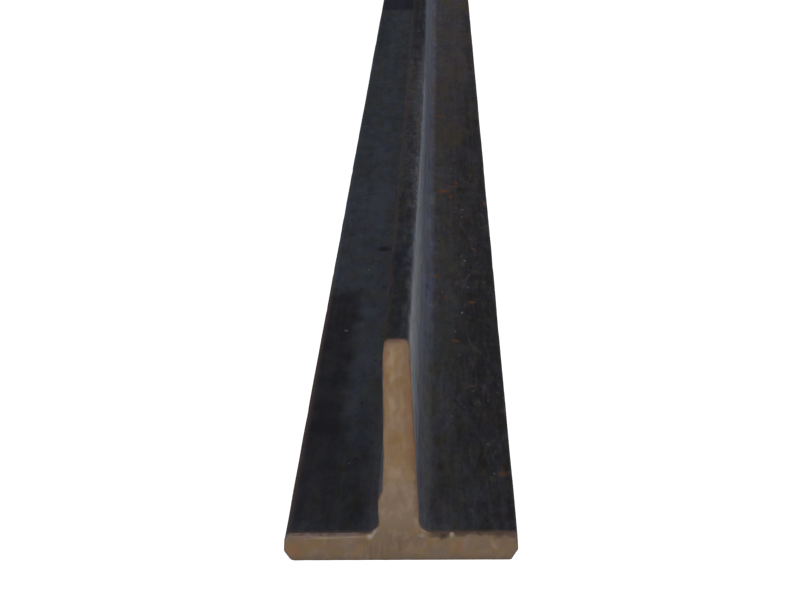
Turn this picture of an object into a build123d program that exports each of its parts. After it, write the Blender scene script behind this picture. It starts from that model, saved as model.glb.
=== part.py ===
"""Steel tee bar: one length of hot rolled bar, lying on its flange with the stem up, sawn square at both ends.

X runs across the flange, Y along the bar and Z up the stem. The origin is the centre of the flange's
underside at mid-length. Sizes are millimetres.
"""

import os

from build123d import *

INCH = 25.4

# Driving dimensions of the bar
leg = 1.5 * INCH           # width of the flange, and height over the stem
thickness = leg / 8        # of the flange, and of the stem on average
length = 24 * INCH         # a stock length

# Stem: its faces draw in towards the toe, and the left one steps out into a low ridge near its foot
root_radius = 2.2
toe_right_radius = 1.1
toe_left_radius = 0.8
stem_right_toe = 1.76
stem_right_foot = 3.1
stem_left_toe = 2.12
stem_left_shoulder = 2.42  # just below the toe, where the left face starts to lean in
stem_left_waist = 2.6
stem_left_foot = 3.45
shoulder_height = 35.2
shoulder_round = 4.0
waist_height = 17.0
step_draft = 0.25          # how far the left face has drawn out where the step starts
step_top = 12.6
ridge = 3.6
ridge_height = 10.6
ridge_round = 0.7

# Flange: its edges draw in a little towards the top, and the rolls bevel its lower corners
flange_edge = leg / 2
edge_draft = 0.2
left_bevel_width = 1.15
left_bevel_height = 1.75
left_edge_round = 1.2
left_bevel_round = 0.6
right_bevel_width = 1.15
right_bevel_height = 1.9
right_edge_round = 0.5
right_bevel_round = 0.3

# Corners of the section, clockwise from the left end of the underside, looking along +Y:
# how far across, how far up, and the radius rolled there
corners = [
    (-flange_edge + left_bevel_width, 0, left_bevel_round),
    (-flange_edge, left_bevel_height, left_bevel_round),
    (-flange_edge + edge_draft, thickness, left_edge_round),
    (-stem_left_foot, thickness, root_radius),
    (-ridge, ridge_height, ridge_round),
    (-stem_left_waist - step_draft, step_top, root_radius),
    (-stem_left_waist, waist_height, root_radius),
    (-stem_left_shoulder, shoulder_height, shoulder_round),
    (-stem_left_toe, leg, toe_left_radius),
    (stem_right_toe, leg, toe_right_radius),
    (stem_right_foot, thickness, root_radius),
    (flange_edge - edge_draft, thickness, right_edge_round),
    (flange_edge, right_bevel_height, right_bevel_round),
    (flange_edge - right_bevel_width, 0, right_bevel_round),
]


def section():
    """The rolled section, drawn in the XZ plane."""
    with BuildSketch(Plane.XZ) as sketch:
        with BuildLine():
            points = [(across, up) for across, up, radius in corners]
            radii = [radius for across, up, radius in corners]
            FilletPolyline(*points, radius=radii, close=True)
        make_face()
    return sketch.sketch


tee_bar = extrude(section(), amount=length / 2, both=True)

os.makedirs("parts", exist_ok=True)
export_step(tee_bar, "parts/tee_bar.step")

box = tee_bar.bounding_box()
print("section area, mm2", round(section().area, 1))
print("size, mm", box.size, "from", box.min)
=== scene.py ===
# %% [markdown]
# # A hot rolled steel tee bar
#
# The bar is one length of rolled steel. A flat flange lies on the floor and a stem stands along its
# middle. A saw cut both ends square. Only three things make up its look: the section that the rolls
# gave it, the dark scale that grew on it as it cooled, and the brown film on the bare saw cuts.
#
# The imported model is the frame. It gives the true size and place, and everything here is fitted to it.

import math
import random

import bmesh
import bpy
from mathutils import Matrix, Vector, noise


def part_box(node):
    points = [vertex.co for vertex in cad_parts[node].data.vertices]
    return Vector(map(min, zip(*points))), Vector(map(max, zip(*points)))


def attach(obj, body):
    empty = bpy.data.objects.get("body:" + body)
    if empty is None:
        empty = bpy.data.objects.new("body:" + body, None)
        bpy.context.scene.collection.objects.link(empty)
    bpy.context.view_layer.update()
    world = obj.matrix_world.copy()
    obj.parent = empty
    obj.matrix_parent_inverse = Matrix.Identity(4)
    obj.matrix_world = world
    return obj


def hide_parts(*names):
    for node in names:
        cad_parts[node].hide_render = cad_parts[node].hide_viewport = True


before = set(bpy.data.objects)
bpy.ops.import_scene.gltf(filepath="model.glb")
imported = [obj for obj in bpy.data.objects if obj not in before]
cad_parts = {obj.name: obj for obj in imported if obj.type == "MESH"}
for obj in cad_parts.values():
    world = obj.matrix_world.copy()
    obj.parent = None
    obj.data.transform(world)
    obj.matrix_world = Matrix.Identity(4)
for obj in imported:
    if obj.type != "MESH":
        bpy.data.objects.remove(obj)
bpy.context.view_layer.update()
MM = 0.001
HAIR = 0.01  # millimetres, to tell whether two places are the same
low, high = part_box("tee_bar")
length = (high[1] - low[1]) / MM
leg = (high[2] - low[2]) / MM
end = length / 2
print(f"the bar is {length:.1f} mm long, with legs of {leg:.1f} mm")

# %% [markdown]
# ## The rolled section
#
# The section is a T with a rounded root on each side of the stem. The stem draws in towards its
# crowned toe, because the rolls need draft to let go of it. Its left face has a low ridge near the
# foot, and the rolls bevelled the flange's lower corners.
#
# It could be drawn as a long list of points. A list of fourteen corners, each with the radius that the
# rolls gave it, says the same in fewer numbers, and Blender's vertex bevel then rounds each corner.

# %% Corners of the section
INCH = 25.4
flange_edge = 1.5 * INCH / 2
thickness = leg / 8
root_radius = 2.2
toe_right_radius = 1.1
toe_left_radius = 0.8
stem_right_toe = 1.76
stem_right_foot = 3.1
stem_left_toe = 2.12
stem_left_shoulder = 2.42
stem_left_waist = 2.6
stem_left_foot = 3.45
shoulder_height = 35.2
shoulder_round = 4.0
waist_height = 17.0
step_draft = 0.25
step_top = 12.6
ridge = 3.6
ridge_height = 10.6
ridge_round = 0.7
edge_draft = 0.2
left_bevel_width = 1.15
left_bevel_height = 1.75
left_edge_round = 1.2
left_bevel_round = 0.9
right_bevel_width = 1.15
right_bevel_height = 1.9
right_edge_round = 0.5
right_bevel_round = 0.3

# Across, up, radius, and how many faces turn the corner, clockwise from the left of the underside
corners = [
    (-flange_edge + left_bevel_width, 0, left_bevel_round, 4),
    (-flange_edge, left_bevel_height, left_bevel_round, 3),
    (-flange_edge + edge_draft, thickness, left_edge_round, 6),
    (-stem_left_foot, thickness, root_radius, 8),
    (-ridge, ridge_height, ridge_round, 3),
    (-stem_left_waist - step_draft, step_top, root_radius, 2),
    (-stem_left_waist, waist_height, root_radius, 2),
    (-stem_left_shoulder, shoulder_height, shoulder_round, 2),
    (-stem_left_toe, leg, toe_left_radius, 5),
    (stem_right_toe, leg, toe_right_radius, 6),
    (stem_right_foot, thickness, root_radius, 8),
    (flange_edge - edge_draft, thickness, right_edge_round, 4),
    (flange_edge, right_bevel_height, right_bevel_round, 2),
    (flange_edge - right_bevel_width, 0, right_bevel_round, 3),
]
print(len(corners), "corners in the section")

# %% [markdown]
# A vertex bevel is told how far to cut back along the two edges. For an arc that touches both edges,
# that is the radius divided by the tangent of half the angle between them.

# %% Draw the section and round its corners
bar_mesh = bmesh.new()
outline = [bar_mesh.verts.new((across, -end, up)) for across, up, radius, turns in corners]
bar_mesh.faces.new(outline)


def corner_angle(index):
    """The angle between the two edges that meet at a corner."""
    here, before, after = (
        Vector(corners[i % len(corners)][:2]) for i in (index, index - 1, index + 1)
    )
    return (before - here).angle(after - here)


for index, (across, up, radius, turns) in enumerate(corners):
    bmesh.ops.bevel(
        bar_mesh,
        geom=[outline[index]],
        offset=radius / math.tan(corner_angle(index) / 2),
        offset_type="OFFSET",
        segments=turns,
        profile=0.5,
        affect="VERTICES",
        material=-1,
    )
print(len(bar_mesh.verts), "points round the section")

# %% [markdown]
# ## The lip of the saw cut
#
# On the real end the edge isn't knife sharp. Under the lip, the scale folds over a worn edge, and just
# inside it the saw left a thin raised burr. Two insets give the section two rings for that: an outer
# one to roll back and an inner one to raise. A layer on the vertices remembers how far each one is
# from the outline, and Blender carries the layer along through every later cut.

# %% Inset two rings for the worn lip
lip_width = 0.3
burr_width = 0.28
inset_layer = bar_mesh.verts.layers.float.new("inset")
for width in (lip_width, burr_width):
    inner = max(bar_mesh.faces, key=lambda face: face.calc_area())
    bmesh.ops.inset_region(
        bar_mesh, faces=[inner], thickness=width, depth=0, use_even_offset=True, use_boundary=True
    )
    reach = max(vert[inset_layer] for vert in bar_mesh.verts) + width
    inner = max(bar_mesh.faces, key=lambda face: face.calc_area())
    for vert in inner.verts:
        vert[inset_layer] = reach
print("the lip reaches", round(reach, 2), "mm in from the outline")

# %% [markdown]
# ## Small faces, so that the steel can be uneven
#
# Flat faces can't carry any relief until they are cut up. Planes cut the section into a grid: close
# enough across to hold the fine lines that the rolls draw along the bar. Then the grid is extruded to
# the far end, and the long edges are divided. The rings lie close together near the two saw cuts,
# where the eye is near, and wider in the middle. A second layer on the vertices, called section, keeps
# each one's place on the straight bar, so that a finish can follow a corner that later leans.

# %% Cut the section into a grid
cell = 0.62
snap = 0.12


def cut(place, normal):
    """Cuts the whole mesh along a plane, using points that are already almost on it."""
    geometry = bar_mesh.verts[:] + bar_mesh.edges[:] + bar_mesh.faces[:]
    bmesh.ops.bisect_plane(bar_mesh, geom=geometry, dist=snap, plane_co=place, plane_no=normal)


for step in range(1, int(2 * flange_edge / cell)):
    cut((-flange_edge + step * cell, 0, 0), (1, 0, 0))
for step in range(1, int(leg / cell)):
    cut((0, 0, step * cell), (0, 0, 1))
around = sum(1 for vert in bar_mesh.verts if vert[inset_layer] < HAIR)
print(len(bar_mesh.faces), "faces on an end,", around, "points round it")

# %% Extrude it along the bar and divide it into rings
rings = 210
crowding = 0.74  # 0 spaces the rings evenly, and 1 crowds them most towards the ends
extruded = bmesh.ops.extrude_face_region(bar_mesh, geom=bar_mesh.faces[:])["geom"]
far_verts = [item for item in extruded if isinstance(item, bmesh.types.BMVert)]
bmesh.ops.translate(bar_mesh, vec=(0, length, 0), verts=far_verts)
long_edges = [edge for edge in bar_mesh.edges if edge.calc_length() > length / 2]
bmesh.ops.subdivide_edges(bar_mesh, edges=long_edges, cuts=rings, use_grid_fill=True)
for vert in bar_mesh.verts:
    share = vert.co.y / end
    crowded = math.sin(share * math.pi / 2)
    vert.co.y = end * ((1 - crowding) * share + crowding * crowded)
bmesh.ops.recalc_face_normals(bar_mesh, faces=bar_mesh.faces[:])
bar_mesh.normal_update()
open_edges = sum(1 for edge in bar_mesh.edges if not edge.is_manifold)
section_layer = bar_mesh.verts.layers.float_vector.new("section")
for vert in bar_mesh.verts:
    vert[section_layer] = vert.co
print(len(bar_mesh.faces), "faces,", open_edges, "open edges")

# %% [markdown]
# ## Relief of the rolled faces
#
# Hot rolled steel is never quite flat. The faces waver by some hundredths of a millimetre over a few
# centimetres, the rolls draw fine lines along them, and knocks leave shallow dents. Noise gives the
# first two. The dents are placed with a seeded generator, so that they fall in the same places every
# time. Each vertex moves along its own normal. Real roll lines are finer than this mesh can hold, so
# they are drawn 0.7 mm apart, as coarse as they need to be to show.
#
# The stem of this bar also leans a little to the right, most about a third of the way along.

# %% Noise, dents and the lean
seed_places = random.Random(41)
stray = 1


def wave(point, across, along, seed):
    """Smooth noise whose swells measure this many millimetres across and along the bar."""
    return noise.noise(Vector((point.x / across, point.y / along, point.z / across + seed)))


def dents(count, wide, deep, corners_near):
    """Random dents near some places of the section: the place, size and depth of each."""
    made = []
    for _ in range(count):
        along = seed_places.uniform(-end, end)
        across, up = seed_places.choice(corners_near)
        size = seed_places.uniform(*wide)
        place = Vector((across + seed_places.uniform(-stray, stray), along, up))
        made.append((place, size, deep * size))
    return made


lean_most = 0.7
lean_at = -end + 215
lean_reach = 150


def lean(point):
    """How far the stem leans to the right here: nothing at its foot, most at its toe."""
    share = min(max((point.z - thickness) / (leg - thickness), 0), 1)
    return lean_most * share * math.exp(-(((point.y - lean_at) / lean_reach) ** 2))


corners_hit = [(-flange_edge, 3), (flange_edge, 3), (0, leg), (1.5, leg - 1), (-2, leg - 1)]
knocks = dents(90, (0.7, 2.4), 0.07, corners_hit)
print(len(knocks), "knocks")

# %% Move the rolled faces
waver_depth = 0.05
line_depth = 0.014
edge_waver = 0.07
side_strip = 1.5
toe_strip = 2
knock_span = 2  # a dent ends this many sizes from its middle
knock_fall = 1.5  # a higher number makes its walls steeper
sides = [vert for vert in bar_mesh.verts if abs(vert.co.y) < end - HAIR]
moved = 0
for vert in sides:
    point = vert.co.copy()
    shift = waver_depth * wave(point, 9, 55, 3.1)
    shift += line_depth * wave(point, 0.7, 90, 7.7)
    if abs(point.x) > flange_edge - side_strip or point.z > leg - toe_strip:
        shift += edge_waver * wave(point, 4, 16, 11.3)
    for place, size, depth in knocks:
        gap = point - place
        if abs(gap.y) < knock_span * size and gap.length < knock_span * size:
            shift -= depth * math.exp(-((gap.length / size) ** 2) * knock_fall)
            moved += 1
    vert.co += vert.normal * shift
    vert.co.x += lean(point)
    vert.co.z = max(vert.co.z, 0)
print("the knocks touch", moved, "points")

# %% [markdown]
# ## Relief of the saw cuts
#
# A band saw leaves shallow steps straight up the cut where its teeth wandered. The lip is rolled back,
# most on the flange's upper edges and round the toe, and a small burr stands inside it. Both are
# uneven, with a nick here and there. The real steps are some tenths of a millimetre apart, and they
# are drawn 0.9 mm apart, as coarse as they need to be to show.

# %% Saw marks
saw_pitch = 0.9
saw_stroke = 14
saw_depth = 0.035
drift_most = 0.6
drift_size = 7
rough_size = 0.8
rough_share = 0.5


def saw_marks(across, up, seed):
    """How far the cut stands proud of flat."""
    drift = drift_most * noise.noise(Vector((across / drift_size, up / drift_size, seed)))
    steps = noise.noise(Vector((across / saw_pitch + drift, up / saw_stroke, seed + 5)))
    rough = noise.noise(Vector((across / rough_size, up / rough_size, seed + 9)))
    return saw_depth * (steps + rough_share * rough)


print("saw marks are up to", saw_depth, "mm deep")

# %% Move the two ends
lip_side = 0.12
lip_top = 0.6
wear_size = 1.6
burr_height = 0.07
burr_worn = 0.75  # where the wear is under this share, the burr is gone
cut_sunk = 0.02  # keeps the burr within the bar's length
foot_strip = 1  # the lip under the flange isn't rolled back
top_strip = 1.5  # nicks are only in the flange's upper edges
root_reach = 4  # and beyond the stem's roots
nick_depth = 0.3
nick_width = 0.6
nick_places = [(-14.5, 0.3), (6.6, 1), (12.2, 0.6), (16.3, 1), (-8.0, 0.5), (1.0, 0.8)]

for vert in bar_mesh.verts:
    if abs(vert.co.y) < end - HAIR:
        continue
    outward = math.copysign(1, vert.co.y)
    across, up = vert.co.x, vert.co.z
    vert.co.x += lean(vert.co)
    inset = vert[inset_layer]
    uneven = 1 + 0.5 * noise.noise(Vector((across / wear_size, up / wear_size, outward * 3)))
    if inset < HAIR:
        upward = max(0.0, vert.normal.z) if up > foot_strip else 0.0
        back = lip_side + (lip_top - lip_side) * upward
        if up > thickness - top_strip and abs(across) > root_reach:
            for place, size in nick_places:
                back += nick_depth * size * math.exp(-(((across - place) / (nick_width * size)) ** 2))
        vert.co.y -= outward * back * uneven
    elif inset < reach - HAIR:
        vert.co.y += outward * (burr_height * (uneven - burr_worn) - cut_sunk)
    else:
        vert.co.y += outward * (saw_marks(across, up, 2 + outward) - cut_sunk)
print("lips rolled back by up to", lip_top, "mm")

# %% [markdown]
# ## Make it an object
#
# The faces of the two cuts get a second material slot. Everything is shaded smooth except where faces
# meet at a real corner, which is only at the lips. The mesh is scaled from millimetres to metres, and
# the object itself stays at the origin.

# %% Finish the mesh
SCALE_SLOT = 0
SAWN_SLOT = 1
cut_strip = 0.5
cut_facing = 0.35
corner_turn = 50
for face in bar_mesh.faces:
    by_an_end = abs(face.calc_center_median().y) > end - cut_strip
    sawn_face = by_an_end and abs(face.normal.y) > cut_facing
    face.material_index = SAWN_SLOT if sawn_face else SCALE_SLOT
    face.smooth = True
bmesh.ops.scale(bar_mesh, vec=(MM, MM, MM), verts=bar_mesh.verts[:])
mesh = bpy.data.meshes.new("rolled_tee")
bar_mesh.to_mesh(mesh)
bar_mesh.free()
mesh.set_sharp_from_angle(angle=math.radians(corner_turn))
rolled_tee = bpy.data.objects.new("rolled_tee", mesh)
bpy.context.scene.collection.objects.link(rolled_tee)
triangles = sum(len(polygon.vertices) - 2 for polygon in mesh.polygons)
print(triangles, "triangles in the bar")
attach(rolled_tee, "root")
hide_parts("tee_bar")

# %% [markdown]
# ## Tools for the finishes
#
# Colours are written as they look on a screen, in hex, and one function turns them linear. Another
# adds a node with its settings and links. Both finishes are drawn on Object coordinates, which are the
# bar's own millimetres once they are scaled, so a pattern's size is a size on the steel.

# %% Colours and nodes


def linear(code):
    """A linear RGBA colour from an sRGB hex code."""
    parts = [int(code[i : i + 2], 16) / 255 for i in (1, 3, 5)]
    return (*[p / 12.92 if p <= 0.04045 else ((p + 0.055) / 1.055) ** 2.4 for p in parts], 1)


def add(tree, kind, inputs, output=0, **settings):
    """Adds a node and returns one of its outputs. An input is a value or another node's output."""
    made = tree.nodes.new("ShaderNode" + kind)
    for name, value in settings.items():
        setattr(made, name, value)
    for name, value in inputs.items():
        if isinstance(value, bpy.types.NodeSocket):
            tree.links.new(value, made.inputs[name])
        else:
            made.inputs[name].default_value = value
    return made.outputs[output]


def new_finish(name):
    """An empty finish: its tree and shader, and the place on the bar in millimetres."""
    finish = bpy.data.materials.new(name)
    finish.use_nodes = True
    tree = finish.node_tree
    place = add(tree, "TexCoord", {}, "Object")
    place = add(tree, "VectorMath", {0: place, "Scale": 1 / MM}, operation="SCALE")
    return finish, tree, tree.nodes["Principled BSDF"], place


print("colours and nodes are ready")

# %% [markdown]
# A finish is then built up in stains, one colour over another, each let through by masks. It could be
# painted as a picture instead, but stains need no file, keep their size on the steel, and look right
# from any side. The first kind of mask is a zone: a part of the bar with soft borders.

# %% Zones and stains


def where(tree, *masks):
    """Where all of the masks show. A plain number is a mask too."""
    share = 1
    for mask in masks:
        share = add(tree, "Math", {0: share, 1: mask}, operation="MULTIPLY")
    return share


def zone(tree, place, *fades):
    """A mask over part of the bar. Each fade names an axis, where the mask is 0 and where it is 1."""
    masks = []
    for axis, start, stop in fades:
        part = add(tree, "SeparateXYZ", {"Vector": place}, axis)
        edges = {"Value": part, "From Min": start, "From Max": stop}
        masks.append(add(tree, "MapRange", edges, interpolation_type="SMOOTHSTEP"))
    return where(tree, *masks)


def stain(tree, under, code, *masks, blend="MIX"):
    """Lays a colour over another where all of the masks show."""
    under = linear(under) if isinstance(under, str) else under
    inputs = {0: where(tree, *masks), 6: under, 7: linear(code)}
    return add(tree, "Mix", inputs, 2, data_type="RGBA", blend_type=blend)


print("zones and stains are ready")

# %% [markdown]
# Three more masks make the marks. Patches are noise with a size in millimetres and a threshold. Flecks
# are small rounds at random places. A spot is one oval at a chosen place: a spherical gradient, which
# is 1 in the middle and 0 at the rim. For each, a Mapping node first shrinks or stretches the place.
# A seed moves the pattern far away, so that two with the same size don't fall in the same places.

# %% Patches and flecks


def patches(tree, place, size, level, soft=0.1, turn=0, seed=0, detail=3):
    """A mask of patches of a size across and along. A higher level leaves fewer."""
    across, along = size
    shift = (17 * seed, 29 * seed, 23 * seed)
    inputs = {
        "Vector": place,
        "Location": shift,
        "Rotation": (0, 0, turn),
        "Scale": (across, along, across),
    }
    sized = add(tree, "Mapping", inputs, vector_type="TEXTURE")
    cloud = add(tree, "TexNoise", {"Vector": sized, "Scale": 1, "Detail": detail, "Roughness": 0.6})
    edges = {"Value": cloud, "From Min": level - soft, "From Max": level + soft}
    return add(tree, "MapRange", edges, interpolation_type="SMOOTHSTEP")


def flecks(tree, place, spacing, size, share, seed=0):
    """A mask of small rounds: their size as a part of the spacing, and what share of them is there."""
    across, along = spacing
    shift = (31 * seed, 17 * seed, 11 * seed)
    inputs = {"Vector": place, "Location": shift, "Scale": (across, along, across)}
    sized = add(tree, "Mapping", inputs, vector_type="TEXTURE")
    gap = add(tree, "TexVoronoi", {"Vector": sized, "Scale": 1})
    chance = add(tree, "SeparateColor", {"Color": gap.node.outputs["Color"]}, "Red")
    there = add(tree, "Math", {0: chance, 1: share}, operation="LESS_THAN")
    edges = {"Value": gap, "From Min": size, "From Max": size * 0.4}
    return where(tree, there, add(tree, "MapRange", edges, interpolation_type="SMOOTHSTEP"))


print("patches and flecks are ready")

# %% Spots and ragged edges


def spot(tree, place, centre, size, turn=0, soft=0.8):
    """A mask of one oval: its centre and half sizes in millimetres, turned on the flat of the bar."""
    inputs = {"Vector": place, "Location": centre, "Rotation": (0, 0, turn), "Scale": size}
    sized = add(tree, "Mapping", inputs, vector_type="TEXTURE")
    inside = add(tree, "TexGradient", {"Vector": sized}, "Fac", gradient_type="SPHERICAL")
    edges = {"Value": inside, "From Min": 0, "From Max": soft}
    return add(tree, "MapRange", edges, interpolation_type="SMOOTHSTEP")


def spots(tree, place, height, deep, marks):
    """One mask of many ovals, each with its place, half sizes, turn and strength."""
    shown = 0
    for across, along, wide, tall, turn, strength in marks:
        oval = spot(tree, place, (across, along, height), (wide, tall, deep), turn)
        shown = add(tree, "Math", {0: shown, 1: where(tree, oval, strength)}, operation="MAXIMUM")
    return shown


def ragged(tree, place, size, most):
    """The place, pushed about by up to this many millimetres, so that edges drawn on it are ragged."""
    push = add(tree, "TexNoise", {"Vector": place, "Scale": 1 / size, "Detail": 2}, "Color")
    push = add(tree, "VectorMath", {0: push, 1: (0.5, 0.5, 0.5)}, operation="SUBTRACT")
    push = add(tree, "VectorMath", {0: push, "Scale": 4 * most}, operation="SCALE")
    return add(tree, "VectorMath", {0: place, 1: push})


print("spots and ragged edges are ready")

# %% [markdown]
# ## Hot rolled mill scale
#
# Scale is the oxide that grows on red hot steel. It is thin, hard and nearly black with a cold blue
# tint, and it is duller than metal, because its surface is a fine crust.
#
# The first step finds the faces of the section. The toe is found by the section layer and not by its
# place, because the stem leans.

# %% Scale: where each face is
scale_finish, scale, scale_shader, on_bar = new_finish("hot_rolled_mill_scale")
uneven_bar = ragged(scale, on_bar, 6, 1.2)
near = -end
right_side = zone(scale, on_bar, ("X", -0.6, 0.6))
left_side = zone(scale, on_bar, ("X", 0.6, -0.6))
on_flange = zone(scale, on_bar, ("Z", thickness + 2.4, thickness + 0.6))
on_stem = zone(scale, on_bar, ("Z", thickness, thickness + 2.4))
right_flange = where(scale, right_side, on_flange)
left_flange = where(scale, left_side, on_flange)
right_face = where(scale, right_side, on_stem)
section = add(scale, "Attribute", {}, "Vector", attribute_name="section")
toe = zone(scale, section, ("X", 2.3, 1.15), ("Z", leg - 1.6, leg - 0.6))
print("faces found by their place on the section")

# %% [markdown]
# Each face has its own shade, partly the scale's own colour and partly painted light. On the flange's
# right half a painted reflection leaves it darkest at its edge and this end, paler along the bar and
# most towards the stem, and a painted blue sheen lies by the right root. The left half is darker near
# this end, where the painted reflection is weakest. The flange turns browner along the bar. Its
# underside lay on the cooling bed and has brown patches.

# %% Scale: shades of the flange
# Painted reflection: the right half is darkest at its edge and this end, and paler along the bar.
colour = stain(scale, "#3c4049", "#272629", right_flange)
right_inner = zone(scale, uneven_bar, ("X", 15, 4.5), ("Y", near - 140, near + 140))
colour = stain(scale, colour, "#464649", right_flange, right_inner)
far_right = zone(scale, uneven_bar, ("X", 17.5, 14), ("Y", near + 270, near + 400))
colour = stain(scale, colour, "#4b484b", 0.65, right_flange, far_right)
# A painted blue sheen by the right root.
painted_root_sheen = zone(scale, uneven_bar, ("X", 5.4, 4.2), ("Y", near + 60, near + 130))
colour = stain(scale, colour, "#50556d", 0.62, right_flange, painted_root_sheen)
far_root = zone(scale, uneven_bar, ("X", 8.5, 5.5), ("Y", near + 330, near + 380))
colour = stain(scale, colour, "#5a5a66", 0.35, right_flange, far_root)
left_outer = zone(scale, uneven_bar, ("X", -11.5, -14.5), ("Y", near + 190, near + 240))
colour = stain(scale, colour, "#353941", 0.8, left_flange, left_outer)
far_outer = zone(scale, uneven_bar, ("X", -12, -16), ("Y", near + 370, near + 430))
colour = stain(scale, colour, "#2b303b", 0.7, left_flange, far_outer)
# The left half is darker near this end, where the painted reflection is weakest.
near_left = zone(scale, uneven_bar, ("Y", near + 75, near + 15))
colour = stain(scale, colour, "#29292d", 0.85, left_flange, near_left)
left_root = zone(scale, uneven_bar, ("X", -8.5, -6))
colour = stain(scale, colour, "#3e3f45", 0.6, left_flange, left_root)
underside = zone(scale, on_bar, ("Z", 0.5, 0.1))
colour = stain(scale, colour, "#3b3c41", 0.8, underside)
bed_rust = patches(scale, on_bar, (6, 22), 0.54, 0.1, seed=51)
colour = stain(scale, colour, "#4c3c33", 0.6, underside, bed_rust)
print("the flange has its shades")

# %% [markdown]
# The stem's right face is the palest part of the bar near its upper edge at this end. Farther along,
# its foot is the paler half. Both are a painted reflection: a pale band that moves down the face along
# the bar, over the scale's own blue grey, with darker bands painted beside it. The left face is hidden
# behind the toe, so it gets one even shade.

# %% Scale: shades of the stem
colour = stain(scale, colour, "#454850", left_side, on_stem)
colour = stain(scale, colour, "#3b404e", right_face)
# The pale and dark bands below are a painted reflection that moves down the face along the bar.
painted_reflection_near = zone(scale, uneven_bar, ("Z", 10, 29), ("Y", near + 200, near - 20))
colour = stain(scale, colour, "#5b5d61", right_face, painted_reflection_near)
near_foot = zone(scale, uneven_bar, ("Z", 17, 12), ("Y", near + 90, near + 30))
colour = stain(scale, colour, "#434043", 0.7, right_face, near_foot)
far_upper = zone(scale, uneven_bar, ("Z", 24, 30), ("Y", near + 190, near + 270))
colour = stain(scale, colour, "#333947", 0.6, right_face, far_upper)
middle = zone(
    scale,
    uneven_bar,
    ("Z", 10, 14),
    ("Z", 24, 19),
    ("Y", near + 120, near + 170),
    ("Y", near + 340, near + 290),
)
colour = stain(scale, colour, "#343847", 0.8, right_face, middle)
painted_reflection_far = zone(scale, uneven_bar, ("Z", 18, 9), ("Y", near + 290, near + 400))
colour = stain(scale, colour, "#535765", 0.9, right_face, painted_reflection_far)
mid_foot = zone(scale, uneven_bar, ("Z", 18, 10), ("Y", near + 20, near + 90))
colour = stain(scale, colour, "#4e515c", 0.7, right_face, mid_foot)
print("the stem has its shades")

# %% [markdown]
# Along the stem's upper right edge a painted highlight lies as a pale line. It is palest at this end,
# and beyond that it is broken into painted glints.

# %% Scale: the painted highlight along the edge
# A painted highlight along the stem's upper right edge, palest at this end, then painted glints.
highlighted = zone(
    scale, uneven_bar, ("Z", leg - 7.5, leg - 3.5), ("X", 0.9, 1.4), ("Y", near + 250, near + 190)
)
colour = stain(scale, colour, "#5c616e", 0.3, highlighted)
near_highlight = zone(
    scale, uneven_bar, ("Z", leg - 11, leg - 6), ("X", 0.9, 1.4), ("Y", near + 75, near + 20)
)
colour = stain(scale, colour, "#6f7278", 0.35, near_highlight)
painted_glints = patches(scale, on_bar, (0.4, 1.1), 0.6, 0.05, seed=60)
corner_highlight = zone(
    scale,
    section,
    ("X", 1.2, 1.7),
    ("Z", leg - 15, leg - 8),
    ("Z", leg - 0.4, leg - 2.5),
    ("Y", near + 60, near + 90),
    ("Y", near + 240, near + 190),
)
colour = stain(scale, colour, "#b4bcc8", 0.35, corner_highlight, painted_glints)
print("the edge is rubbed")

# %% [markdown]
# The toe is smooth and nearly black near this end, then pitted, then smooth and darker still under a
# painted shade. Where it is pitted it is paler towards its right edge, and a few chips of scale are
# gone.

# %% Scale: the toe
colour = stain(scale, colour, "#1e1f25", 0.96, toe)
# A painted shade falls across the toe from here on.
far_toe_shade = zone(scale, uneven_bar, ("Y", near + 240, near + 262))
colour = stain(scale, colour, "#15161a", 0.5, toe, far_toe_shade)
uneven_toe = ragged(scale, section, 5, 0.25)
pitted_length = zone(
    scale, uneven_bar, ("Y", near + 45, near + 100), ("Y", near + 248, near + 205)
)
pitted = where(scale, toe, pitted_length)
colour = stain(scale, colour, "#2a2b2f", 0.85, pitted)
colour = stain(scale, colour, "#424247", 0.55, pitted, zone(scale, uneven_toe, ("X", -0.5, 1.1)))
light_length = zone(
    scale, uneven_toe, ("X", -2, 0), ("Y", near + 150, near + 172), ("Y", near + 203, near + 180)
)
colour = stain(scale, colour, "#42434a", 0.6, toe, light_length)
pits = patches(scale, on_bar, (0.8, 3.0), 0.55, 0.09, seed=21)
colour = stain(scale, colour, "#44464e", 0.3, pitted, pits)
toe_holes = patches(scale, on_bar, (1.0, 4.2), 0.57, 0.08, seed=23)
colour = stain(scale, colour, "#18181c", 0.4, pitted, toe_holes)
flakes = patches(scale, on_bar, (0.7, 4), 0.6, 0.06, seed=22)
colour = stain(scale, colour, "#393a3a", 0.35, pitted, flakes)
chips = patches(scale, on_bar, (0.4, 1.2), 0.6, 0.04, seed=29)
chipped = zone(
    scale,
    section,
    ("X", 0.8, 1.3),
    ("Z", leg - 1.5, leg - 1),
    ("Y", near + 70, near + 85),
    ("Y", near + 135, near + 112),
)
colour = stain(scale, colour, "#8d939e", 0.45, chipped, chips)
far_strip = zone(
    scale, uneven_toe, ("X", 0.2, 1.2), ("Y", near + 190, near + 205), ("Y", near + 260, near + 240)
)
colour = stain(scale, colour, "#3e4148", 0.55, toe, far_strip)
print("the toe is done")

# %% [markdown]
# A thin line runs along the toe's left edge, where a fold of scale has broken open. It is dark at both
# ends, and over the middle length rust shows in it, with gaps.

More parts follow.
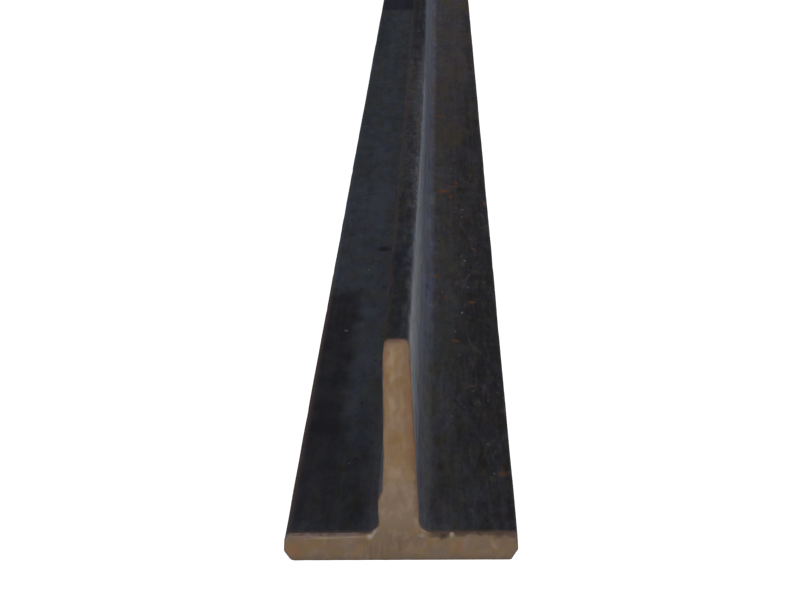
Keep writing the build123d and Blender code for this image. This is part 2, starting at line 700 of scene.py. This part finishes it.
# %% Scale: the line along the toe
toe_line = zone(
    scale, uneven_toe, ("X", -1.3, -1.75), ("Z", leg - 3.4, leg - 2.2), ("Y", near + 340, near + 270)
)
colour = stain(scale, colour, "#3b3739", 0.85, toe_line)
near_length = zone(scale, on_bar, ("Y", near + 60, near + 40))
colour = stain(scale, colour, "#2c282b", 0.65, toe_line, near_length)
far_length = zone(scale, on_bar, ("Y", near + 215, near + 240))
colour = stain(scale, colour, "#28272d", 0.8, toe_line, far_length)
orange_length = zone(scale, on_bar, ("Y", near + 140, near + 165), ("Y", near + 232, near + 212))
broken_line = patches(scale, on_bar, (3, 24), 0.45, 0.15, seed=24, detail=1)
colour = stain(scale, colour, "#44372f", 0.75, toe_line, orange_length, broken_line)
print("the line along the toe is done")

# %% [markdown]
# Rolling drags the scale into faint streaks along the bar, and over them it has grown in soft patches
# a few millimetres wide. The oxide's thickness tints each patch a little: blue, violet, olive or rose.
# Dark and pale patches are laid at a low strength. The tints multiply the colour beneath, so they
# change its hue and keep its shade.

# %% Scale: streaks, mottling and tints
for code, strength, mask, size, level, soft, seed in (
    ("#000003", 0.2, right_flange, (1.5, 55), 0.5, 0.2, 8),
    ("#9aa1ae", 0.016, right_side, (1.0, 45), 0.52, 0.2, 5),
    ("#9aa1ae", 0.012, right_flange, (0.6, 9), 0.56, 0.08, 6),
    ("#000003", 0.2, right_flange, (0.8, 8), 0.57, 0.08, 7),
    ("#c3c8d2", 0.03, right_face, (1.4, 9), 0.56, 0.08, 10),
    ("#000003", 0.3, right_face, (1.6, 7), 0.56, 0.08, 11),
    ("#000003", 0.12, 1, (9, 32), 0.52, 0.12, 3),
    ("#000003", 0.18, 1, (2.6, 8), 0.52, 0.12, 9),
    ("#9aa1ae", 0.016, 1, (2.2, 6), 0.54, 0.1, 26),
    ("#9aa1ae", 0.014, 1, (0.9, 2.2), 0.56, 0.1, 27),
):
    streak = patches(scale, on_bar, size, level, soft, seed=seed)
    colour = stain(scale, colour, code, strength, mask, streak)
for code, size, seed in (
    ("#dcf6ff", (2.4, 9), 41),
    ("#ece2ff", (2.8, 8), 42),
    ("#fbf8c4", (2.6, 9), 43),
    ("#ffe8d8", (3.0, 11), 44),
):
    tinted = patches(scale, on_bar, size, 0.55, 0.09, seed=seed)
    colour = stain(scale, colour, code, 0.5, tinted, blend="MULTIPLY")
brown = where(scale, right_flange, zone(scale, uneven_bar, ("Y", near + 110, near + 300)))
olive = patches(scale, on_bar, (4, 26), 0.52, 0.1, seed=45)
colour = stain(scale, colour, "#463d2f", 0.5, brown, olive)
violet = patches(scale, on_bar, (3, 20), 0.55, 0.1, seed=46)
colour = stain(scale, colour, "#3c3444", 0.45, brown, violet)
print("streaks, mottling and tints are laid")

# %% [markdown]
# The left side of the flange shows two darker lengths. The near one is blotchy and covers only the
# outer half. The far one is a painted shade that falls across the flange. Between them is a paler
# length, and near this end the edge of the flange is brown.

# %% Scale: the darker lengths
dark_near = zone(
    scale,
    uneven_bar,
    ("X", -10, -13.4),
    ("Y", near + 8, near + 45),
    ("Y", near + 129, near + 119),
)
colour = stain(scale, colour, "#252428", 0.8, left_flange, dark_near)
blotches = patches(scale, on_bar, (4, 9), 0.5, 0.14, seed=47)
colour = stain(scale, colour, "#16161b", 0.5, left_flange, dark_near, blotches)
left_edge = zone(scale, on_bar, ("X", -17.5, -18.6), ("Y", near + 170, near + 120))
colour = stain(scale, colour, "#4c3a36", 0.5, left_edge)
pale_length = spot(scale, uneven_bar, (-9, near + 202, thickness), (5, 34, 6))
colour = stain(scale, colour, "#454a57", 0.6, left_flange, pale_length)
# A painted shade across the far part of the left flange.
far_shade = zone(scale, on_bar, ("Y", near + 497, near + 507), ("Y", near + 592, near + 540))
colour = stain(scale, colour, "#171929", 0.88, left_flange, far_shade)
print("the darker lengths are laid")

# %% [markdown]
# Rust comes through wherever the scale is broken. It sits as fine flecks in loose clusters, mostly on
# the right of the flange, and fills the scuffs that other bars left as they were dragged across. Here
# and there a chip of scale is gone and bare steel shows as a pale dot. Beside the saw cuts the
# scale is stained brown.

# %% Scale: flecks and the stained lip
busy = spot(scale, on_bar, (10, near + 145, thickness), (10, 75, 6))
loose = patches(scale, on_bar, (12, 50), 0.56, 0.1, seed=14)
rusty = add(scale, "Math", {0: busy, 1: loose}, operation="MAXIMUM")
rusty = where(scale, rusty, zone(scale, uneven_bar, ("X", -10, -4)))
scuffed_bar = ragged(scale, on_bar, 1.0, 0.3)
for code, strength, mask, spacing, size, share, seed in (
    ("#1a1a1d", 0.6, rusty, (1.8, 4.5), 0.26, 0.5, 19),
    ("#7d868e", 0.25, rusty, (2.8, 7), 0.14, 0.4, 17),
    ("#7d868e", 0.2, on_flange, (4, 11), 0.07, 0.5, 18),
    ("#17171b", 0.45, 1, (3, 8), 0.16, 0.6, 20),
):
    scattered = flecks(scale, scuffed_bar, spacing, size, share, seed)
    colour = stain(scale, colour, code, strength, mask, scattered)
for code, strength, size, level, seed in (
    ("#5f463e", 0.6, (1.4, 4.5), 0.68, 13),
    ("#464334", 0.5, (1.6, 7), 0.63, 15),
    ("#463f4c", 0.5, (1.6, 7), 0.62, 16),
):
    rust = patches(scale, on_bar, size, level, 0.06, seed=seed)
    colour = stain(scale, colour, code, strength, rusty, rust)
ragged_bar = ragged(scale, on_bar, 1.2, 0.25)
for side in (-1, 1):
    lip = zone(scale, ragged_bar, ("Y", side * (end - 1.7), side * (end - 0.5)))
    colour = stain(scale, colour, "#50413b", 0.7, lip)
print("flecks are scattered")

# %% [markdown]
# The marks that stand out in the picture are put where they are on the bar, one by one: rust in the
# scuffs, bare steel where scale has chipped off, and dark stains. Two scratches on the flange are
# curved. Each is a short part of a thin ring, which is one spot with a smaller one taken out of it.

# %% Scale: handling marks
# Each mark is across, along from the near end, half its width and length, its turn and its strength
rust_marks = [
    (7.2, 208.3, 2.4, 3, 0, 0.8),
    (9.6, 212.6, 2.1, 1.9, 0.9, 0.56),
    (10.9, 216.3, 0.9, 2.6, 0, 0.56),
    (9.2, 202.6, 0.9, 2.8, 0, 0.72),
    (5.5, 225, 0.6, 2.3, 0, 0.4),
    (18.2, 195.5, 0.6, 3.2, 0, 0.72),
    (14.5, 154.7, 0.6, 2.6, 0.3, 0.64),
    (5.6, 133.7, 0.8, 2.2, 0, 0.8),
    (6.9, 122.2, 0.6, 1.7, 0, 0.72),
    (7.4, 118.1, 0.5, 1.7, 0, 0.72),
    (13.5, 114.9, 1.1, 1.3, 0.3, 0.8),
    (9.8, 115.7, 0.4, 1.2, 0, 0.64),
    (3.3, 102.3, 0.4, 3.8, 0, 0.56),
    (9.6, 90.3, 1.1, 1.7, 0.6, 0.64),
    (6.4, 298.5, 2.8, 1.9, -0.4, 0.56),
    (17.2, 23, 1.3, 1.9, 0, 0.4),
]
pale_marks = [
    (12.3, 189.6, 0.35, 0.9, 0, 0.35),
    (12.0, 182.9, 0.35, 0.9, 0, 0.35),
    (12.3, 145.6, 0.4, 1.0, 0, 0.4),
    (11.2, 107.9, 0.4, 0.9, 0, 0.5),
    (9.7, 95.8, 0.35, 0.8, 0, 0.4),
    (-10.4, 138.7, 0.35, 0.8, 0, 0.3),
    (-13.7, 96.9, 0.4, 0.9, 0, 0.35),
]
dark_marks = [
    (-7.3, 155.5, 2.6, 3.2, 0, 0.8),
    (-12.2, 205.5, 6.5, 1.0, 0.5, 0.35),
    (12.6, 210, 2.4, 3.6, 0, 0.6),
    (11.4, 193, 1.0, 3.0, 0, 0.5),
    (17, 292, 1.3, 24, 0, 0.4),
]
mark_deep = 2.5
for code, marks in (("#15151a", dark_marks), ("#63402f", rust_marks), ("#8b9299", pale_marks)):
    placed = [(across, near + along, *rest) for across, along, *rest in marks]
    marked = spots(scale, scuffed_bar, thickness, mark_deep, placed)
    colour = stain(scale, colour, code, marked)
    print(len(marks), "marks of", code)

# %% Scale: two curved scratches
scratch_outside = (3.8, 13, mark_deep)
scratch_inside = (3.4, 12, mark_deep)
for along, starts, shows in ((126, 122, 128), (95, 97, 92)):
    centre = (15.5, near + along, thickness)
    ring = spot(scale, scuffed_bar, centre, scratch_outside, soft=0.2)
    hole = spot(scale, scuffed_bar, centre, scratch_inside, soft=0.1)
    arc = add(scale, "Math", {0: ring, 1: hole}, operation="SUBTRACT", use_clamp=True)
    shown = zone(
        scale, on_bar, ("Y", near + starts, near + shows), ("X", 15.4, 14.4), ("Z", 5.4, 5.1)
    )
    colour = stain(scale, colour, "#6a6c72", 0.28, arc, shown)
scale.links.new(colour, scale_shader.inputs["Base Color"])
print("two curved scratches are drawn")

# %% [markdown]
# The crust scatters the light, so the scale is rough, and roughest on the toe. Iron oxide would have
# the default gloss, but in soft light from all round, a face seen at a slant then turns pale grey, and
# the real one stays dark. The specular level is brought down until the faces match. The crust's real
# grain is some hundredths of a millimetre, and it is drawn at 0.35 mm, as coarse as it needs to be to
# show. Drag lines along the bar and the toe's pits are bump as well.

# %% Scale: crust, drag lines and pits
grain_size = 0.35
grain_deep = 0.03 * MM
drag_deep = 0.03 * MM
pits_deep = 0.06 * MM
grain = add(scale, "TexNoise", {"Vector": on_bar, "Scale": 1 / grain_size, "Detail": 3})
crust = add(scale, "Bump", {"Height": grain, "Strength": 0.4, "Distance": grain_deep}, "Normal")
drag = patches(scale, on_bar, (0.9, 70), 0.5, 0.3, seed=31)
inputs = {"Height": drag, "Normal": crust, "Strength": 0.5, "Distance": drag_deep}
crust = add(scale, "Bump", inputs, "Normal")
holes = where(scale, pitted, pits)
inputs = {"Height": holes, "Normal": crust, "Strength": 0.6, "Distance": -pits_deep}
crust = add(scale, "Bump", inputs, "Normal")
scale.links.new(crust, scale_shader.inputs["Normal"])
print("the crust is up to", grain_deep / MM, "mm deep")

# %% Scale: how rough and how glossy
roughness = add(scale, "MapRange", {"Value": drag, "To Min": 0.66, "To Max": 0.8})
rougher = add(scale, "Math", {0: where(scale, toe, 0.12), 1: roughness})
toe_corner = zone(scale, on_bar, ("X", -1.0, -1.5), ("Z", leg - 2.5, leg - 1.5))
rougher = add(scale, "Math", {0: where(scale, toe_corner, 0.2), 1: rougher})
scale.links.new(rougher, scale_shader.inputs["Roughness"])
scale_shader.inputs["Specular IOR Level"].default_value = 0.015
print(len(scale.nodes), "nodes in the mill scale")

# %% [markdown]
# ## Sawn steel with a film of rust
#
# The saw leaves bright steel with fine scores. In a damp store it takes on a thin tan film within
# days: yellower up the stem, greyer at its foot, browner on the flange, and orange where water ran
# down beside the stem's right edge. The worn lip round the cut is dark.
#
# A Mapping node stands the pattern up: up the cut takes the place of along the bar, so that the same
# patches and spots serve here. The near cut then has a height of +end and the far one of -end, so
# that ovals placed at +end are on the near cut only.

# %% Sawn steel: the film
sawn_finish, sawn, sawn_shader, place = new_finish("sawn_steel_rust_film")
on_cut = add(sawn, "Mapping", {"Vector": place, "Rotation": (-math.pi / 2, 0, 0)})
uneven_cut = ragged(sawn, on_cut, 2.2, 0.5)
on_leg = zone(sawn, uneven_cut, ("Y", 11, 18))
on_foot = zone(sawn, uneven_cut, ("Y", 7.5, 3.8))
colour = stain(sawn, "#705f4e", "#765f49", on_leg)
colour = stain(sawn, colour, "#645344", on_foot)
for code, strength, mask, size, level, soft, turn, seed in (
    ("#7f6536", 0.5, on_leg, (1.8, 3), 0.52, 0.1, 0.2, 4),
    ("#8b7666", 0.36, 1, (1.6, 2.4), 0.56, 0.12, -0.2, 2),
    ("#6a5139", 0.24, 1, (0.7, 5), 0.56, 0.1, 0.3, 6),
    ("#675b50", 0.5, on_foot, (2.6, 3.4), 0.5, 0.12, 0.3, 5),
    ("#6d5b36", 0.5, on_foot, (2.8, 2.2), 0.53, 0.1, 0, 8),
    ("#765640", 0.35, on_foot, (2.4, 1.8), 0.58, 0.1, 0, 9),
):
    patch = patches(sawn, on_cut, size, level, soft, turn, seed, detail=2)
    colour = stain(sawn, colour, code, strength, mask, patch)
print("the film of rust is laid")

# %% Sawn steel: ochre, pale and orange places
# Each mark is across, up, half its width and height, its turn and its strength
oval_deep = 9
ochre_places = [
    (-0.6, 21.8, 2.2, 2.0, 0, 0.8),
    (0.6, 30.9, 1.9, 1.8, 0, 0.7),
    (0.5, 18.4, 2, 1.6, 0, 0.6),
    (1.5, 29.3, 0.9, 2.8, 0, 0.8),
]
colour = stain(sawn, colour, "#6f5430", 0.8, spots(sawn, uneven_cut, end, oval_deep, ochre_places))
pale_places = [
    (-0.8, 35.3, 1.0, 2.6, 0, 0.8),
    (-1.0, 32.0, 0.8, 1.6, 0, 0.6),
    (-0.9, 27.4, 1.0, 2.2, 0, 0.8),
    (-0.7, 15.4, 1.8, 1.8, 0, 0.6),
    (15.1, 2.8, 1.4, 0.5, -0.9, 0.5),
    # These two, on the curve of the left root, are a painted highlight.
    (-5.1, 4.7, 1.0, 0.4, 0.2, 0.9),
    (-4.2, 5.3, 0.9, 0.4, 0.8, 0.8),
]
colour = stain(sawn, colour, "#947f6c", 0.6, spots(sawn, uneven_cut, end, oval_deep, pale_places))
right_strip = zone(sawn, uneven_cut, ("X", 0.4, 1.4), ("Y", 14, 20))
colour = stain(sawn, colour, "#6a533f", 0.65, right_strip)
run = zone(sawn, uneven_cut, ("X", 1.5, 2.1), ("Y", 15, 19), ("Y", 36, 32))
colour = stain(sawn, colour, "#734b31", 0.6, run)
left_run = zone(sawn, uneven_cut, ("X", -1.4, -2.0), ("Y", 25, 30))
colour = stain(sawn, colour, "#734b31", 0.4, left_run)
print(len(ochre_places), "ochre places,", len(pale_places), "pale ones and two orange runs")

# %% [markdown]
# The saw's last strokes show as dark lines below the stem. Where water dried, in the left corner and
# right of the stem, the rust is redder, and the right end and the bottom edge are darker.

# %% Sawn steel: strokes and corners
below_stem = zone(sawn, on_cut, ("X", -7.5, -5.5), ("X", 1.8, -0.5), ("Y", 4.2, 3.0))
strokes = patches(sawn, on_cut, (0.8, 5), 0.54, 0.1, seed=3)
colour = stain(sawn, colour, "#51443a", 0.4, below_stem, strokes)
red_places = [
    (-17.6, 1.6, 2.4, 2.2, 0, 1.0),
    (9.6, 2.4, 1.7, 1.8, 0, 0.7),
    (4.6, 3.0, 1.0, 1.2, 0, 0.5),
]
colour = stain(sawn, colour, "#7b5138", 0.45, spots(sawn, uneven_cut, end, oval_deep, red_places))
right_end = zone(sawn, uneven_cut, ("X", 14, 17), ("Y", 2.2, 3.4))
colour = stain(sawn, colour, "#5d4c40", 0.5, right_end)
bottom = zone(sawn, uneven_cut, ("Y", 1.3, 0.3))
colour = stain(sawn, colour, "#5c4d40", 0.5, bottom)
print("strokes and corners are done")

# %% [markdown]
# The lip's two rings have a look of their own. The inset layer is 0 at the outline and grows inwards,
# so a range of it is a line of even width all round, and wear moves its borders a little in or out.
# The rim is dark. The flange's upper edge is dark too, with a violet
# tint left of the stem, and the toe and the stem's right side have a brown edge.

# %% Sawn steel: the worn lip
wear_most = 0.1
rim_full = 0.1  # this near the outline, the rim is at its darkest
wear = patches(sawn, on_cut, (0.7, 2), 0.5, 0.3)
wear = add(sawn, "MapRange", {"Value": wear, "To Min": -wear_most, "To Max": wear_most})
from_outline = add(sawn, "Attribute", {}, "Fac", attribute_name="inset")
from_outline = add(sawn, "Math", {0: from_outline, 1: wear})
inputs = {"Value": from_outline, "From Min": lip_width, "From Max": rim_full}
rim = add(sawn, "MapRange", inputs)
broken_rim = patches(sawn, on_cut, (2, 4), 0.42, 0.15, seed=14)
colour = stain(sawn, colour, "#4a3a33", 0.8, rim, broken_rim)
top_edge = zone(
    sawn,
    uneven_cut,
    ("Y", thickness - 0.7, thickness - 0.1),
    ("Y", thickness + 2, thickness + 1),
)
left_of_root = zone(sawn, on_cut, ("X", -5.2, -6.6))
right_of_root = zone(sawn, on_cut, ("X", 3.9, 5.4))
colour = stain(sawn, colour, "#54463f", 0.75, top_edge, left_of_root)
violet_edge = patches(sawn, on_cut, (1.2, 0.6), 0.5, 0.1, seed=15)
colour = stain(sawn, colour, "#7d6f75", 0.38, top_edge, left_of_root, violet_edge)
colour = stain(sawn, colour, "#47372f", 0.8, top_edge, right_of_root)
toe_edge = zone(sawn, uneven_cut, ("Y", leg - 0.9, leg - 0.3))
colour = stain(sawn, colour, "#5c463c", 0.6, toe_edge)
side_edge = zone(sawn, uneven_cut, ("X", 1.9, 2.7), ("Y", 7, 10), ("Y", 25, 20))
colour = stain(sawn, colour, "#574332", 0.6, side_edge)
print("the worn lip is done")

# %% [markdown]
# The burr inside the lip is paler left of the stem: bare metal, with a painted highlight on it. Here
# and there the edge is nicked: dark in some nicks, and bright where one is fresh. Painted highlights lie
# on the curves of the stem's roots. A bright line runs along the left half of the flange: bare metal of
# the burr with a painted highlight.

# %% Sawn steel: burr and nicks
burr_soft = 0.12
inputs = {"Value": from_outline, "From Min": lip_width, "From Max": lip_width + burr_soft}
burr_starts = add(sawn, "MapRange", inputs)
burr_top = zone(
    sawn,
    on_cut,
    ("Y", thickness - 1.3, thickness - 0.9),
    ("Y", thickness + 1, thickness + 0.4),
)
inputs = {"Value": from_outline, "From Min": reach, "From Max": reach - burr_soft}
burr_ends = add(sawn, "MapRange", inputs)
burr = where(sawn, burr_starts, burr_ends, burr_top, left_of_root)
broken_burr = patches(sawn, on_cut, (3, 3), 0.46, 0.12, seed=12)
# Bare metal of the burr with a painted highlight.
colour = stain(sawn, colour, "#94867a", 0.2, burr, broken_burr)
dark_nicks = [
    (6.7, 4.4, 1.4, 0.75, 0, 0.9),
    (15.9, 4.3, 1.6, 0.8, 0, 0.6),
    (12.4, 4.6, 0.7, 0.4, 0, 0.5),
]
colour = stain(sawn, colour, "#2f2520", spots(sawn, uneven_cut, end, oval_deep, dark_nicks))
# Painted highlights on the curves of the stem's roots.
root_highlights = [
    (-5.3, 4.3, 1.0, 0.5, 0.2, 0.65),
    (-4.3, 5.1, 0.9, 0.6, 0.8, 0.55),
    (3.6, 4.5, 0.9, 0.5, 0, 0.3),
]
colour = stain(sawn, colour, "#9c9495", 0.8, spots(sawn, uneven_cut, end, oval_deep, root_highlights))
fresh_nicks = [(8.4, 4.5, 0.6, 0.7, 0, 0.75)]
colour = stain(sawn, colour, "#a09489", 0.8, spots(sawn, uneven_cut, end, oval_deep, fresh_nicks))
# Bare metal of the burr with a painted highlight along the flange's left half.
bright_line = [(-12.2, 4.05, 4.2, 0.2, 0, 0.45), (-8, 4.2, 3, 0.18, 0, 0.35)]
colour = stain(sawn, colour, "#a09489", 0.7, spots(sawn, on_cut, end, oval_deep, bright_line))
sawn.links.new(colour, sawn_shader.inputs["Base Color"])
print("burr and nicks are done")

# %% [markdown]
# The film is mostly oxide with a little bare metal between, so the cut is barely metallic and rather
# rough. The real scores and grain are too fine to show from here, so the scores are drawn 0.45 mm
# apart and the grain at 0.3 mm, as coarse as they need to be to show.

# %% Sawn steel: shader and bump
score_pitch = 0.45
cut_grain_size = 0.3
cut_deep = 0.02 * MM
scores = patches(sawn, on_cut, (score_pitch, 30), 0.5, 0.3, seed=7)
cut_face = add(sawn, "Bump", {"Height": scores, "Strength": 0.3, "Distance": cut_deep}, "Normal")
cut_grain = add(sawn, "TexNoise", {"Vector": on_cut, "Scale": 1 / cut_grain_size, "Detail": 3})
inputs = {"Height": cut_grain, "Normal": cut_face, "Strength": 0.4, "Distance": cut_deep}
cut_face = add(sawn, "Bump", inputs, "Normal")
sawn.links.new(cut_face, sawn_shader.inputs["Normal"])
sawn_shader.inputs["Roughness"].default_value = 0.6
sawn_shader.inputs["Metallic"].default_value = 0.2
sawn_shader.inputs["Specular IOR Level"].default_value = 0.2
print(len(sawn.nodes), "nodes in the sawn steel")

mesh.materials.append(scale_finish)
mesh.materials.append(sawn_finish)

# %% [markdown]
# ## Floor, light and camera
#
# The bar lies on a plain white floor in soft light. More light on the floor would also wash out the
# bar, so the floor and the world glow only for rays that show them: from the camera, off a gloss or
# through glass. The rays that light the bar meet the plain grey, and its shadow stays.

# %% What shows the background


def background_rays(tree):
    """1 for the rays that show the background, and 0 for those that light the bar."""
    shown_by = add(tree, "LightPath", {}, "Is Camera Ray")
    for kind in ("Is Glossy Ray", "Is Transmission Ray"):
        others = add(tree, "LightPath", {}, kind)
        shown_by = add(tree, "Math", {0: shown_by, 1: others}, operation="MAXIMUM")
    return shown_by


print("camera, glossy and transmission rays show the background")

# %% Floor
floor_half = 30
glow_share = 0.72  # lifts the lit grey to white
floor_finish = bpy.data.materials.new("white_floor")
floor_finish.use_nodes = True
floor_tree = floor_finish.node_tree
floor_shader = floor_tree.nodes["Principled BSDF"]
floor_shader.inputs["Base Color"].default_value = linear("#e6e6e6")
floor_shader.inputs["Roughness"].default_value = 0.9
floor_shader.inputs["Specular IOR Level"].default_value = 0.1
glow = where(floor_tree, background_rays(floor_tree), glow_share)
floor_tree.links.new(glow, floor_shader.inputs["Emission Strength"])
floor_shader.inputs["Emission Color"].default_value = (1, 1, 1, 1)

floor_mesh = bmesh.new()
bmesh.ops.create_grid(floor_mesh, x_segments=1, y_segments=1, size=floor_half)
floor_data = bpy.data.meshes.new("floor")
floor_mesh.to_mesh(floor_data)
floor_mesh.free()
floor_data.materials.append(floor_finish)
floor = bpy.data.objects.new("floor", floor_data)
bpy.context.scene.collection.objects.link(floor)
print("the floor is down")

# %% [markdown]
# The world is white all round and lights the bar at half strength. Two large soft lamps add the rest:
# one from the right, for the stem's right face, and one from behind the camera, for the near cut.

# %% World and lamps
plain_level = 0.5
lamp_size = 1.3
lamp_power = 17
world = bpy.data.worlds.new("studio")
bpy.context.scene.world = world
world.use_nodes = True
sky = world.node_tree
inputs = {"Value": background_rays(sky), "To Min": plain_level, "To Max": 1}
strength = add(sky, "MapRange", inputs)
background = sky.nodes["Background"]
background.inputs["Color"].default_value = (1, 1, 1, 1)
sky.links.new(strength, background.inputs["Strength"])


def lamp(name, place, aim):
    """A square soft lamp, pointed at a place."""
    data = bpy.data.lights.new(name, "AREA")
    data.size = lamp_size
    data.energy = lamp_power
    made = bpy.data.objects.new(name, data)
    made.location = place
    made.rotation_euler = (Vector(aim) - Vector(place)).to_track_quat("-Z", "Y").to_euler()
    bpy.context.scene.collection.objects.link(made)


lamp("key_from_the_right", (1.6, -0.1, 0.75), (0, 0, 0))
lamp("fill_from_the_front", (-0.4, -1.9, 0.9), (0, -0.2, 0))
print("two lamps and a white world")

# %% [markdown]
# The camera was placed by matching the bar's section and edges to the picture. It looks down along the
# bar from in front of the near end. The match gives a focal length in pixels of an 800 pixel wide
# picture, which the sensor's width turns into millimetres. It also gives the camera's place, and how
# far it turns to the side, tips down and rolls.

# %% Camera
SENSOR_WIDTH = 36
FOCAL_PIXELS = 1768
PICTURE_WIDTH = 800
camera_place = Vector((7.51, near - 258.17, 133.14)) * MM
yaw, pitch, roll = (math.radians(angle) for angle in (-1.546, 18.894, 0.963))
forward = Vector(
    (math.sin(yaw) * math.cos(pitch), math.cos(yaw) * math.cos(pitch), -math.sin(pitch))
)
level_right = Vector((math.cos(yaw), -math.sin(yaw), 0))
level_down = forward.cross(level_right)
right = math.cos(roll) * level_right + math.sin(roll) * level_down
down = -math.sin(roll) * level_right + math.cos(roll) * level_down

lens = bpy.data.cameras.new("camera")
lens.sensor_width = SENSOR_WIDTH
lens.lens = FOCAL_PIXELS / PICTURE_WIDTH * SENSOR_WIDTH
camera = bpy.data.objects.new("camera", lens)
turned = Matrix((right, -down, -forward)).transposed()
camera.matrix_world = Matrix.Translation(camera_place) @ turned.to_4x4()
bpy.context.scene.collection.objects.link(camera)
bpy.context.scene.camera = camera
bpy.context.scene.view_settings.view_transform = "Standard"
print(f"a lens of {lens.lens:.1f} mm, {camera_place.length:.2f} m from mid-length")

# %% The end
print("the scene is built")
